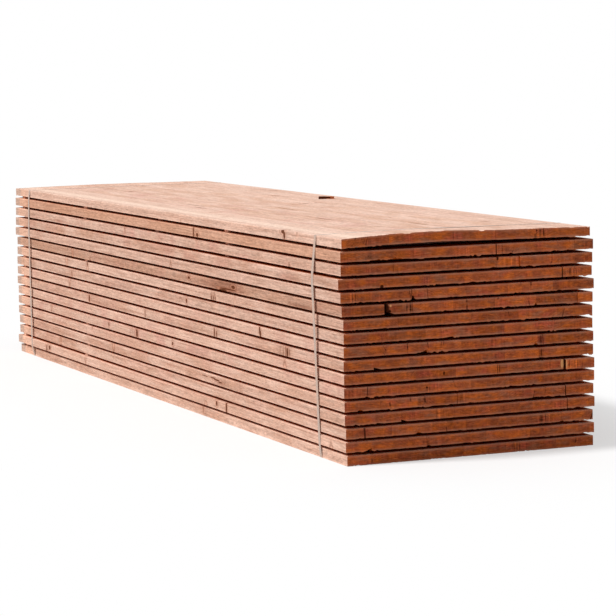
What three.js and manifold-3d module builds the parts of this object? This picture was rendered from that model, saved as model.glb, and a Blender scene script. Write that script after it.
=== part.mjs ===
// A strapped pack of sawn softwood boards, stacked for air drying.
//
// Boards of random width lie edge to edge in courses. Between one course and the next lie
// thin stickers, square to the boards, which let the air through. Two steel straps hold the
// pack together near its ends, each closed by a crimped seal on the back.
//
// Millimetres, +Z up. +X runs along the boards, -Y is the front face of the pack, and the
// origin is at the middle of its underside.

import * as THREE from 'three';
import { mergeVertices } from 'three/addons/utils/BufferGeometryUtils.js';
import Module from 'manifold-3d';

const wasm = await Module();
wasm.setup();

// ---------------------------------------------------------------- driving dimensions

// Boards
const boardLength = 4200;
const boardThickness = 38;
const topBoardThickness = 35; // the top course is sawn a little thinner
const courseWidth = 1030;
const narrowestBoard = 50; // what is left of a course is never ripped narrower than this
const endStagger = 10; // the shortest board ends stand this far back from the pack's ends

// Joints between the boards of a course
const jointWidth = 1.6;
const jointDepth = 12; // depth of a joint in the top and bottom faces
const jointEndDepth = 90; // at the board ends a joint is open from top to bottom this far in

// Stickers
const stickerThickness = 12;
const stickerWidth = 40;
const stickerSetback = 8; // the sticker ends stand back from the pack's front and back
const stickerPlaces = [0.026, 0.264, 0.505, 0.713, 0.955]; // shares of the length, from the left

// Spring of the top course: its boards lift off the stickers towards both ends
const springLength = 600;
const springSteps = 6;
const springRise = {
  left: [0, 1, 5, 5, 3, 4, 1.5, 0, 0], // at even steps from front to back
  right: [0, 7.5, 13, 14.5, 9.5, 5, 4, 2.5, 0],
};

// Wane: where a board was cut at the outside of the log, the log's round takes a corner off
const logRadius = 170;
const logTaper = 40; // the log is this much thicker in radius for each board length
const logFacets = 64;

// Straps
const strapWidth = 19;
const strapThickness = 0.9;
const strapInset = 245; // from the pack's end to the middle of the strap
const strapTail = 28; // each free end of the strap shows this far past the seal
const seatGap = 0.3; // between the steel and what it lies against
const strapBite = 0.6; // how deep the straps have pressed into the top of the pack
const grooveSideGap = 2; // the grooves that the straps press are this much wider each side

// Crimped seals
const sealLength = 44;
const sealThickness = 0.8;
const sealMouth = 5; // between the two folded edges at the back of a seal
const crimpRadius = 3;
const crimpSpacing = 18;

// The courses from the floor up. Each row gives how far the course juts out past the pack's
// front and back faces at the right-hand end, the sawn widths of its boards from front to
// back, and how far the course lies askew: its left-hand end is that much further back. Then
// comes what some boards have at the right-hand end: a joint that stands open wider than the
// rest (joint number: width), a board that sticks out past the others (board number: how
// far), and wane (board number, edge, and the width and height of the corner that it loses).
const courses = [
  { front: -6, back: -3, widths: [97, 190, 185, 210, 180, 159], askew: -2 },
  {
    front: -1, back: 2, widths: [103, 150, 155, 165, 185, 140, 133], askew: -10,
    wane: { board: 0, edge: 'back', width: 32, height: 7 },
  },
  { front: -2, back: -4, widths: [185, 165, 140, 210, 191, 133], askew: -2 },
  {
    front: 1, back: 5, widths: [226, 145, 143, 200, 205, 117], askew: 1, open: { 4: 3 },
    wane: { board: 1, edge: 'front', width: 26, height: 8 },
  },
  { front: 1, back: 0, widths: [142, 153, 163, 240, 214, 119], askew: -3, open: { 4: 4 } },
  { front: 2, back: 4, widths: [180, 150, 185, 160, 140, 167, 54], askew: 1 },
  {
    front: 1, back: 0, widths: [118, 170, 164, 178, 140, 137, 124], askew: 1, open: { 5: 5 },
    proud: { 6: 14 },
  },
  {
    front: 2, back: 1, widths: [120, 205, 190, 142, 145, 110, 121], askew: -2,
    wane: { board: 1, edge: 'front', width: 30, height: 7 },
  },
  {
    front: 1, back: 2, widths: [170, 167, 140, 150, 169, 237], askew: -1,
    wane: { board: 1, edge: 'back', width: 44, height: 9 },
  },
  { front: 0, back: -1, widths: [150, 180, 185, 140, 210, 164], askew: -3 },
  { front: 0, back: -1, widths: [220, 190, 140, 165, 165, 149], askew: -1 },
  {
    front: 6, back: -1, widths: [176, 110, 165, 172, 173, 175, 64], askew: 6, open: { 0: 11 },
    wane: { board: 1, edge: 'front', width: 30, height: 11 },
  },
  {
    front: 10, back: 6, widths: [143, 144, 190, 204, 190, 175], askew: 2, open: { 1: 3 },
    wane: { board: 2, edge: 'front', width: 14, height: 9 },
  },
  { front: 18, back: -2, widths: [165, 175, 170, 205, 205, 126], askew: 12, open: { 4: 4 } },
  { front: 7, back: 1, widths: [229, 200, 205, 93, 170, 66, 75], askew: 3, proud: { 4: 14 } },
  { front: 7, back: 4, widths: [109, 185, 168, 170, 190, 140, 79], askew: 3, open: { 3: 4 } },
  { front: 2, back: -9, widths: [190, 215, 221, 169, 228], askew: 4 },
];

// ---------------------------------------------------------------- worked-out places

const coursePitch = boardThickness + stickerThickness;
const topCourse = courses.length - 1;
const stackHeight = topCourse * coursePitch + topBoardThickness;
const leftEnd = -boardLength / 2;
const rightEnd = boardLength / 2;
const frontFace = -courseWidth / 2;
const backFace = courseWidth / 2;
const highestRise = Math.max(...springRise.left, ...springRise.right);
const sunkStrapDepth = strapThickness + 2 * seatGap; // so that no strap shows below the pack
const grooveHalfWidth = strapWidth / 2 + grooveSideGap;
const strapPlaces = { left: leftEnd + strapInset, right: rightEnd - strapInset };
const overcut = 5; // cutters run this far past what they cut
const furthestProud = Math.max(...courses.flatMap((course) => Object.values(course.proud ?? {})));
const pastEnd = furthestProud + overcut;
const goldenShare = 0.618034;

// A repeatable scatter between 0 and 1, so that no two neighbours are alike.
const scatter = (course, board, end) => ((course * 5 + board * 3 + end * 7 + 1) * goldenShare) % 1;

const thicknessOf = (number) => (number === topCourse ? topBoardThickness : boardThickness);

// How much further back the front and back edges of a course lie at x than at its right end.
const askewAt = (course, x) => (course.askew * (rightEnd - x)) / boardLength;

// ---------------------------------------------------------------- solids

// A closed three.js geometry as a solid that can be cut and joined.
function solidOf(geometry) {
  const bare = geometry.clone();
  bare.deleteAttribute('normal');
  bare.deleteAttribute('uv');
  const merged = mergeVertices(bare, 1e-4);
  return new wasm.Manifold(
    new wasm.Mesh({
      numProp: 3,
      vertProperties: merged.attributes.position.array,
      triVerts: new Uint32Array(merged.index.array),
    }),
  );
}

function geometryOf(solid) {
  const mesh = solid.getMesh();
  const geometry = new THREE.BufferGeometry();
  geometry.setAttribute('position', new THREE.BufferAttribute(mesh.vertProperties, 3));
  geometry.setIndex(new THREE.BufferAttribute(mesh.triVerts, 1));
  return geometry;
}

// A block between two corners.
function block([x0, y0, z0], [x1, y1, z1]) {
  const box = new THREE.BoxGeometry(x1 - x0, y1 - y0, z1 - z0);
  return solidOf(box.translate((x0 + x1) / 2, (y0 + y1) / 2, (z0 + z1) / 2));
}

const joined = (solids) => solids.reduce((whole, next) => whole.add(next));

// ---------------------------------------------------------------- one course of boards

// Places the boards of a course from front to back. The last one takes what is left, and a
// wider course than the row fills starts the row again.
function boardsOf(course, number) {
  const start = frontFace - course.front;
  const finish = backFace + course.back;
  const boards = [];
  let edge = start;
  while (edge < finish) {
    const sawn = course.widths[boards.length % course.widths.length];
    const left = finish - edge - sawn;
    const lastOfRow = (boards.length + 1) % course.widths.length === 0;
    const width = left < narrowestBoard || (lastOfRow && left < sawn) ? finish - edge : sawn;
    const shift = course.proud?.[boards.length] ?? 0;
    boards.push({
      front: edge,
      back: edge + width,
      left: leftEnd + shift + endStagger * scatter(number, boards.length, 0),
      right: rightEnd + shift - endStagger * scatter(number, boards.length, 1),
    });
    edge += width;
  }
  return boards;
}

// How far the top course has sprung up at a place: nothing in the middle of its length, then
// towards each end a bend in short straight steps, whose height at the end differs from the
// front of the pack to its back.
function springAt(x, y) {
  const fromEnd = boardLength / 2 - Math.abs(x);
  const bendSteps = Math.max(0, ((springLength - fromEnd) / springLength) * springSteps);
  const bendStep = Math.floor(bendSteps);
  const bent = (step) => (step / springSteps) ** 2;
  const bend = THREE.MathUtils.lerp(bent(bendStep), bent(bendStep + 1), bendSteps - bendStep);
  const rise = x < 0 ? springRise.left : springRise.right;
  const share = THREE.MathUtils.clamp((y - frontFace) / courseWidth, 0, 1);
  const steps = share * (rise.length - 1);
  const step = Math.min(Math.floor(steps), rise.length - 2);
  return bend * THREE.MathUtils.lerp(rise[step], rise[step + 1], steps - step);
}

function straightBoard({ left, right, front, back }) {
  return block([left, front, 0], [right, back, boardThickness]);
}

// A board of the top course: its side profile is extruded across its width, and its ends are
// then bent up.
function sprungBoard({ left, right, front, back }, thickness = topBoardThickness) {
  const bendPlaces = [];
  for (let step = 0; step < springSteps; step++) {
    bendPlaces.push(rightEnd - springLength + (springLength * step) / springSteps);
  }
  const along = [left, ...bendPlaces.toReversed().map((x) => -x), ...bendPlaces, right];
  const outline = [
    ...along.map((x) => new THREE.Vector2(x, 0)),
    ...along.toReversed().map((x) => new THREE.Vector2(x, thickness)),
  ];
  const board = new THREE.ExtrudeGeometry(new THREE.Shape(outline), {
    depth: back - front,
    bevelEnabled: false,
  });
  board.rotateX(Math.PI / 2).translate(0, back, 0);
  const place = board.getAttribute('position');
  for (let i = 0; i < place.count; i++) {
    place.setZ(i, place.getZ(i) + springAt(place.getX(i), place.getY(i)));
  }
  return solidOf(board);
}

// The cuts for one joint: a groove in the top face, one in the bottom face, and a slot right
// through at each end.
function jointCuts(y, width, thickness) {
  const front = y - width / 2;
  const back = y + width / 2;
  const top = thickness + highestRise + overcut;
  const cut = (x0, z0, x1, z1) => block([x0, front, z0], [x1, back, z1]);
  return joined([
    cut(leftEnd - overcut, thickness - jointDepth, rightEnd + pastEnd, top),
    cut(leftEnd - overcut, -overcut, rightEnd + pastEnd, jointDepth),
    cut(leftEnd - overcut, -overcut, leftEnd + jointEndDepth, top),
    cut(rightEnd - jointEndDepth, -overcut, rightEnd + pastEnd, top),
  ]);
}

// What the round of the log leaves off a board's lower corner. The log is a cone frustum
// along X that passes through the two edges of the missing corner at the board's right end
// and swallows the whole corner further in, where the log is thicker.
function waneCut(board, { edge, width, height }) {
  const inward = edge === 'front' ? 1 : -1;
  const cornerY = edge === 'front' ? board.front : board.back;
  const chord = Math.hypot(width, height);
  const toAxis = Math.sqrt(logRadius ** 2 - (chord / 2) ** 2);
  const axisY = cornerY + inward * (width / 2 + (toAxis * height) / chord);
  const axisZ = height / 2 + (toAxis * width) / chord;
  const log = new THREE.CylinderGeometry(
    logRadius,
    logRadius + logTaper,
    board.right - board.left + 2 * overcut,
    logFacets,
  );
  log.rotateZ(-Math.PI / 2).translate((board.left + board.right) / 2, axisY, axisZ);
  const cornerBlock = block(
    [board.left - overcut, Math.min(cornerY, cornerY + inward * width), 0],
    [board.right + overcut, Math.max(cornerY, cornerY + inward * width), height],
  );
  return cornerBlock.subtract(solidOf(log));
}

// The stickers that lie on a course.
function stickersOn() {
  return stickerPlaces.map((share) => {
    const x = leftEnd + share * boardLength;
    return block(
      [x - stickerWidth / 2, frontFace + stickerSetback, boardThickness],
      [x + stickerWidth / 2, backFace - stickerSetback, coursePitch],
    );
  });
}

// Wood between two heights at the places where the straps cross the pack.
function strapTracks(bottom, top) {
  const tracks = Object.values(strapPlaces).map((x) =>
    block([x - grooveHalfWidth, 2 * frontFace, bottom], [x + grooveHalfWidth, 2 * backFace, top]),
  );
  return joined(tracks);
}

function courseSolid(course, number) {
  const isTop = number === topCourse;
  const thickness = thicknessOf(number);
  const boards = boardsOf(course, number);
  const cuts = boards
    .slice(1)
    .map((board, joint) => jointCuts(board.front, course.open?.[joint] ?? jointWidth, thickness));
  if (course.wane && boards[course.wane.board]) {
    cuts.push(waneCut(boards[course.wane.board], course.wane));
  }
  if (number === 0) {
    cuts.push(strapTracks(-overcut, sunkStrapDepth));
  }
  if (isTop) {
    const lowered = joined(boards.map((board) => sprungBoard(board, thickness - strapBite)));
    const above = thickness + highestRise + overcut;
    cuts.push(strapTracks(jointDepth, above).subtract(lowered));
  }
  const whole = joined(boards.map((board) => (isTop ? sprungBoard(board) : straightBoard(board))));
  const slab = whole.subtract(joined(cuts));
  return isTop ? slab : joined([slab, ...stickersOn()]);
}

// ---------------------------------------------------------------- straps

// The smallest convex outline round a set of points, counter-clockwise.
function convexOutline(points) {
  const sorted = points.toSorted((a, b) => a.x - b.x || a.y - b.y);
  const turn = (a, b, c) => (b.x - a.x) * (c.y - a.y) - (b.y - a.y) * (c.x - a.x);
  const chain = (from) => {
    const kept = [];
    for (const point of from) {
      while (kept.length > 1 && turn(kept.at(-2), kept.at(-1), point) <= 0) {
        kept.pop();
      }
      kept.push(point);
    }
    return kept.slice(0, -1);
  };
  return [...chain(sorted), ...chain(sorted.toReversed())];
}

// A convex outline moved outwards by a distance, with its corners kept sharp.
function offsetOutline(outline, distance) {
  const outward = outline.map((point, i) => {
    const side = outline[(i + 1) % outline.length].clone().sub(point).normalize();
    return new THREE.Vector2(side.y, -side.x);
  });
  return outline.map((point, i) => {
    const before = outward.at(i - 1);
    const after = outward[i];
    const mitre = before.clone().add(after);
    return point.clone().addScaledVector(mitre, distance / (1 + before.dot(after)));
  });
}

// Where the seal of a strap at x sits: on the course that juts out furthest at the back there.
function sealPlace(x) {
  const backs = courses.map((course) => backFace + course.back + askewAt(course, x));
  const seat = Math.max(...backs);
  const number = backs.indexOf(seat);
  return { seat, height: number * coursePitch + thicknessOf(number) / 2 };
}

// The section of the pack at x, as points in Y and Z: the corners of each course and the
// joints of the sprung top course.
function packCorners(x) {
  const corners = [];
  courses.forEach((course, number) => {
    const bottom = number === 0 ? sunkStrapDepth : number * coursePitch;
    const top = number * coursePitch + thicknessOf(number) - (number === topCourse ? strapBite : 0);
    for (const face of [frontFace - course.front, backFace + course.back]) {
      const y = face + askewAt(course, x);
      corners.push(new THREE.Vector2(y, bottom), new THREE.Vector2(y, top));
    }
  });
  for (const board of boardsOf(courses[topCourse], topCourse)) {
    const top = stackHeight + springAt(x, board.back) - strapBite;
    corners.push(new THREE.Vector2(board.back + askewAt(courses[topCourse], x), top));
  }
  return corners;
}

// What a strap at x is pulled tight round: the pack under both its edges, and the seal's back.
function strapSeat(x) {
  const seal = sealPlace(x);
  const sealEnds = [-sealLength / 2, sealLength / 2].map(
    (end) => new THREE.Vector2(seal.seat + seatGap + sealThickness, seal.height + end),
  );
  const underEdges = [-strapWidth / 2, strapWidth / 2].flatMap((edge) => packCorners(x + edge));
  return convexOutline([...underEdges, ...sealEnds]);
}

// A band of steel between two outlines in the YZ plane, as wide as the strap, at x.
function band(outer, inner, x) {
  const section = new THREE.Shape(outer);
  section.holes.push(new THREE.Path(inner));
  const made = new THREE.ExtrudeGeometry(section, { depth: strapWidth, bevelEnabled: false });
  const lie = new THREE.Matrix4().makeBasis(
    new THREE.Vector3(0, 1, 0),
    new THREE.Vector3(0, 0, 1),
    new THREE.Vector3(1, 0, 0),
  );
  return solidOf(made.applyMatrix4(lie).translate(x - strapWidth / 2, 0, 0));
}

// The half-round bites of the crimping tool in both edges of the seal of a strap at x.
function crimpBites(x) {
  const seal = sealPlace(x);
  const edge = strapWidth / 2 + seatGap + sealThickness;
  const bites = [];
  for (const side of [-edge, edge]) {
    for (const along of [-crimpSpacing / 2, crimpSpacing / 2]) {
      const bite = new THREE.CylinderGeometry(crimpRadius, crimpRadius, backFace, 12);
      bites.push(solidOf(bite.translate(x + side, seal.seat, seal.height + along)));
    }
  }
  return joined(bites);
}

// One strap: pulled tight round the pack, its two ends lapped inside the seal.
function strapSolid(x) {
  const seat = strapSeat(x);
  const inner = offsetOutline(seat, seatGap);
  const outer = offsetOutline(seat, seatGap + strapThickness);
  const lapped = offsetOutline(seat, seatGap + 2 * strapThickness);
  const { height } = sealPlace(x);
  const reach = sealLength / 2 + strapTail;
  const lap = band(lapped, outer, x).intersect(
    block([x - strapWidth, 0, height - reach], [x + strapWidth, courseWidth, height + reach]),
  );
  return band(outer, inner, x).add(lap).subtract(crimpBites(x));
}

// A seal: a steel sleeve folded round both plies of the strap at x, open along its back.
function sealSolid(x) {
  const { seat, height } = sealPlace(x);
  const backOuter = seat + seatGap;
  const backInner = backOuter + sealThickness;
  const frontInner = backInner + 2 * seatGap + 2 * strapThickness;
  const frontOuter = frontInner + sealThickness;
  const inner = strapWidth / 2 + seatGap;
  const outer = inner + sealThickness;
  const sleeve = block(
    [x - outer, backOuter, height - sealLength / 2],
    [x + outer, frontOuter, height + sealLength / 2],
  );
  const bore = block(
    [x - inner, backInner, height - sealLength],
    [x + inner, frontInner, height + sealLength],
  );
  const mouth = block(
    [x - sealMouth / 2, seat, height - sealLength],
    [x + sealMouth / 2, backInner + seatGap, height + sealLength],
  );
  return sleeve.subtract(bore).subtract(mouth).subtract(crimpBites(x));
}

// ---------------------------------------------------------------- the pack

const woodTones = ['#d8ab8b', '#d2a180', '#dcb291', '#cf9b7b'];

function wood(number) {
  return new THREE.MeshStandardMaterial({
    name: 'sawn_softwood',
    color: woodTones[number % woodTones.length],
    roughness: 0.85,
    metalness: 0,
  });
}

const strapSteel = new THREE.MeshStandardMaterial({
  name: 'galvanised_strap',
  color: '#b9aea6',
  roughness: 0.45,
  metalness: 0.9,
});

const pack = new THREE.Group();
pack.name = 'stack_of_lumber';

function named(name, solid, material) {
  const mesh = new THREE.Mesh(geometryOf(solid), material);
  mesh.name = name;
  return mesh;
}

// Each course is turned a little about the front corner of its right-hand end.
courses.forEach((course, number) => {
  const name = 'board_layer_' + String(number + 1).padStart(2, '0');
  const layer = named(name, courseSolid(course, number), wood(number));
  const corner = new THREE.Vector3(rightEnd, frontFace - course.front, 0);
  layer.position.copy(corner).negate();
  const turned = new THREE.Group();
  turned.position.copy(corner).setZ(number * coursePitch);
  turned.rotation.z = -Math.asin(course.askew / boardLength);
  pack.add(turned.add(layer));
});

for (const [side, x] of Object.entries(strapPlaces)) {
  pack.add(named('strap_' + side, strapSolid(x), strapSteel));
  pack.add(named('strap_seal_' + side, sealSolid(x), strapSteel));
}

// The courses jut out unevenly, so the pack is centred on its own outline.
const outline = new THREE.Box3().setFromObject(pack);
const middle = outline.getCenter(new THREE.Vector3());
pack.position.set(-middle.x, -middle.y, 0);

export default pack;
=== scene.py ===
"""A strapped pack of sawn softwood boards, stacked in courses with thin stickers between them."""

import math
import random
from types import SimpleNamespace

import bmesh
import bpy
from mathutils import Matrix, Vector, noise


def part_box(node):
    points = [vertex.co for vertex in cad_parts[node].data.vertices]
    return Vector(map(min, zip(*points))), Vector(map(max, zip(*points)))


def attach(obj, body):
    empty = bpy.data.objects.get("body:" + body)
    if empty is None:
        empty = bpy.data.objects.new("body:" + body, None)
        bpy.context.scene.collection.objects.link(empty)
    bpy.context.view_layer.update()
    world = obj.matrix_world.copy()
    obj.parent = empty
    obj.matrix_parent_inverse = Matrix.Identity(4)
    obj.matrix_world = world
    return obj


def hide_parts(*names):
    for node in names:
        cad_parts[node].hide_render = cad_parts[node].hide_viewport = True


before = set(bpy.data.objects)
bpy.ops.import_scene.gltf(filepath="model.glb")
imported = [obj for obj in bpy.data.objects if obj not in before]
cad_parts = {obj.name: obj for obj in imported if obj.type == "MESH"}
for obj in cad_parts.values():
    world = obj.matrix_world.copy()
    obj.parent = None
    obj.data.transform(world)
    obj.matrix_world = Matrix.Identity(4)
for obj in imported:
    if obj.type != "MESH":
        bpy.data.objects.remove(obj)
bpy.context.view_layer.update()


# ------------------------------------------------------------------ boards
# Sawn softwood boards of random width, rough from the saw and dry: pale on the faces, and dark
# orange on the cross-cut ends, partly their own colour and partly painted shade. Faces inside the
# gaps carry painted shade. Each board keeps the growth rings, knots and heartwood of its log, and
# a few keep some of the log's round on one corner, which is called wane.

class Value:
    """One output of a shader node. Sums and products of them add Math and Vector Math nodes."""

    def __init__(self, tree, socket=None):
        self.tree = tree
        self.socket = socket

    def node(self, kind, settings=None, inputs=None, output=0):
        """Adds a node, sets it up, fills or links its sockets, and gives one output."""
        made = self.tree.nodes.new(kind)
        for name, setting in (settings or {}).items():
            setattr(made, name, setting)
        for key, value in (inputs or {}).items():
            if isinstance(value, Value):
                self.tree.links.new(value.socket, made.inputs[key])
            else:
                made.inputs[key].default_value = value
        return Value(self.tree, made.outputs[output])

    def output(self, name):
        """Another output of the node that this one comes from."""
        return Value(self.tree, self.socket.node.outputs[name])

    def math(self, operation, *others):
        kind = "ShaderNodeMath"
        if self.socket.type in {"VECTOR", "RGBA"}:
            kind = "ShaderNodeVectorMath"
            others = [(o, o, o) if isinstance(o, (int, float)) else o for o in others]
        output = "Value" if operation == "LENGTH" else 0
        return self.node(kind, {"operation": operation}, dict(enumerate([self, *others])), output)

    def reflected(self, operation, number):
        """For a number on the left of an operator, as in 1 - mask."""
        return self.node("ShaderNodeMath", {"operation": operation}, {0: number, 1: self})

    def __add__(self, other):
        return self.math("ADD", other)

    __radd__ = __add__

    def __sub__(self, other):
        return self.math("SUBTRACT", other)

    def __rsub__(self, number):
        return self.reflected("SUBTRACT", number)

    def __mul__(self, other):
        return self.math("MULTIPLY", other)

    __rmul__ = __mul__

    def __truediv__(self, other):
        return self.math("DIVIDE", other)

    def __rtruediv__(self, number):
        return self.reflected("DIVIDE", number)

    def swing(self, amount):
        """A value between 0 and 1 as a change either way, by half the amount at most."""
        return (self - 0.5) * amount

    def fade(self, start, end):
        """0 where this value is at start, 1 where it is at end, and smooth between them."""
        (low, at_low), (high, at_high) = sorted(((start, 0.0), (end, 1.0)))
        settings = {"interpolation_type": "SMOOTHSTEP", "clamp": True}
        inputs = {
            "Value": self, "From Min": low, "From Max": high, "To Min": at_low, "To Max": at_high,
        }
        return self.node("ShaderNodeMapRange", settings, inputs)

    def mix(self, below, above):
        """A colour between two, with this value as the share of the second."""
        settings = {"data_type": "RGBA", "clamp_factor": True}
        factor, first_colour, second_colour, mixed_colour = 0, 6, 7, 2
        inputs = {factor: self, first_colour: below, second_colour: above}
        return self.node("ShaderNodeMix", settings, inputs, mixed_colour)

    def shaded(self, amount):
        """This colour, lighter or darker by an amount that is 1 for no change."""
        return self.node("ShaderNodeVectorMath", {"operation": "SCALE"}, {0: self, "Scale": amount})

    def parts(self):
        split = self.node("ShaderNodeSeparateXYZ", {}, {0: self})
        return [split.output(axis) for axis in "XYZ"]

    def noise(self, pace, detail=3.0, roughness=0.6):
        """Cloudy noise between 0 and 1. Its pace is how often it changes in a metre, by axis."""
        inputs = {"Vector": self * pace, "Scale": 1.0, "Detail": detail, "Roughness": roughness}
        return self.node("ShaderNodeTexNoise", {}, inputs)


def paint(red, green, blue):
    """A colour given as 0 to 255 on a screen, as a shader takes it."""
    def linear(part):
        part /= 255
        return part / 12.92 if part <= 0.04045 else ((part + 0.055) / 1.055) ** 2.4
    return (linear(red), linear(green), linear(blue), 1.0)


def start_finish(name):
    """A new material, the shader that it ends in, and a value to add nodes with."""
    material = bpy.data.materials.new(name)
    material.use_nodes = True
    shader = material.node_tree.nodes["Principled BSDF"]
    return material, shader, Value(material.node_tree)


def wire(value, shader, socket):
    value.tree.links.new(value.socket, shader.inputs[socket])


def coat(shader, colour, roughness, height, strength, depth):
    """Gives a shader its colour, its roughness, and a relief that is so many metres deep."""
    relief = height.node(
        "ShaderNodeBump", {}, {"Strength": strength, "Distance": depth, "Height": height}
    )
    wire(colour, shader, "Base Color")
    wire(roughness, shader, "Roughness")
    wire(relief, shader, "Normal")


def take_off_shine(shader):
    """Raw wood and bark have no shine of their own."""
    shader.inputs["Specular IOR Level"].default_value = 0.0


# What every vertex of a course holds for the finishes:
#   "log": a place in the middle of the log, from which the grain of its board is measured;
#   "board": three chance numbers of its board, for how light, how warm and how rosy it is;
#   "share": how toasted its board is, how far it lies behind the front edge of the first board
#       of the top (or 1 on any other board), and how high it lies in its board, from 0 to 1;
#   and each mark's place by the mark's name, with the mark's half sizes as name + "_size".
knot_names = ("knot_a", "knot_b", "knot_c", "knot_d")
mark_names = ("stain", "lower_stain", "scar", "torn", *knot_names)
nowhere = Vector((0, 0, -9))            # for the marks that a board doesn't have
speck = Vector((0.01, 0.01, 0.01))


def timber(begin):
    """What every face of a board shares: its place in the log, its growth rings and its marks."""
    def attribute(name):
        return begin.node("ShaderNodeAttribute", {"attribute_name": name}, output="Vector")

    def near(name):
        """How far a place is from the middle of a mark, whose edge is at 1."""
        return ((place - attribute(name)) / attribute(name + "_size")).math("LENGTH")

    place = begin.node("ShaderNodeTexCoord", output="Object")
    inside = place - attribute("log")
    board = attribute("board")
    lightness, warmth, rosiness = board.parts()
    toasted, from_front, height_share = attribute("share").parts()

    # Growth rings round the middle of the log, which stray a little from true rounds.
    ring_stray = 0.03
    wide_ring_pace, close_ring_pace = 230, 1250
    _, across, upright = inside.parts()
    radius = (across * across + upright * upright).math("SQRT")
    radius = radius + inside.noise((0.9, 7, 7), 4.0).swing(ring_stray)
    wide_rings = (radius * wide_ring_pace).math("SINE")
    close_rings = (radius * close_ring_pace).math("SINE") * inside.noise((1.5, 24, 24), 2.0, 0.5)

    # Small knots: one in each cell of a loose lattice, most of them left out.
    lattice = (3.1, 8.0, 8.0)
    small_knot_size = (0.010, 0.016, 0.028)
    share_left_out = 0.80
    cells = (place + board * 7.0) * lattice
    nearest = begin.node(
        "ShaderNodeTexVoronoi", {"feature": "F1", "voronoi_dimensions": "3D"},
        {"Vector": cells, "Scale": 1.0, "Randomness": 1.0}, "Position",
    )
    left_out = nearest.output("Color").parts()[0].math("LESS_THAN", share_left_out)
    frayed = place.noise(70)
    from_small = ((cells - nearest) / lattice / small_knot_size).math("LENGTH")
    from_small = from_small + frayed.swing(0.7) + left_out * 10.0

    # The large knots and the splits, whose places the board itself holds.
    from_large = near(knot_names[0])
    for name in knot_names[1:]:
        from_large = from_large.math("MINIMUM", near(name))
    from_large = from_large + frayed.swing(0.8)
    swirl = from_small.fade(3.6, 1.0).math("MAXIMUM", from_large.fade(3.0, 1.0))

    # Heartwood, which is blotchy where it shows.
    blotches = inside.noise((12, 100, 100))
    from_stain = near("stain").math("MINIMUM", near("lower_stain")) + blotches.swing(1.6)
    return SimpleNamespace(
        place=place, inside=inside, across=across, upright=upright,
        lightness=lightness, warmth=warmth, rosiness=rosiness,
        toasted=toasted, from_front=from_front,
        from_mid_height=(height_share - 0.5).math("ABSOLUTE"),
        rings=wide_rings * 0.22 + close_rings * 0.5 + 0.5, close_rings=close_rings,
        small_knot=from_small.fade(1.15, 0.75), large_knot=from_large.fade(1.3, 0.7),
        knot_rings=(from_large * 9.0).math("SINE") * 0.35 + frayed.fade(0.3, 0.7) * 0.6,
        swirl=swirl,
        bent_grain=(from_small.math("MINIMUM", from_large) * 4.8).math("COSINE") * swirl,
        stain=from_stain.fade(1.3, 0.4) * (blotches * 1.2 + 0.3),
        scar=(near("scar") + frayed.swing(0.6)).fade(1.2, 0.8),
        torn=near("torn").fade(1.4, 0.7),
    )


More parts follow.
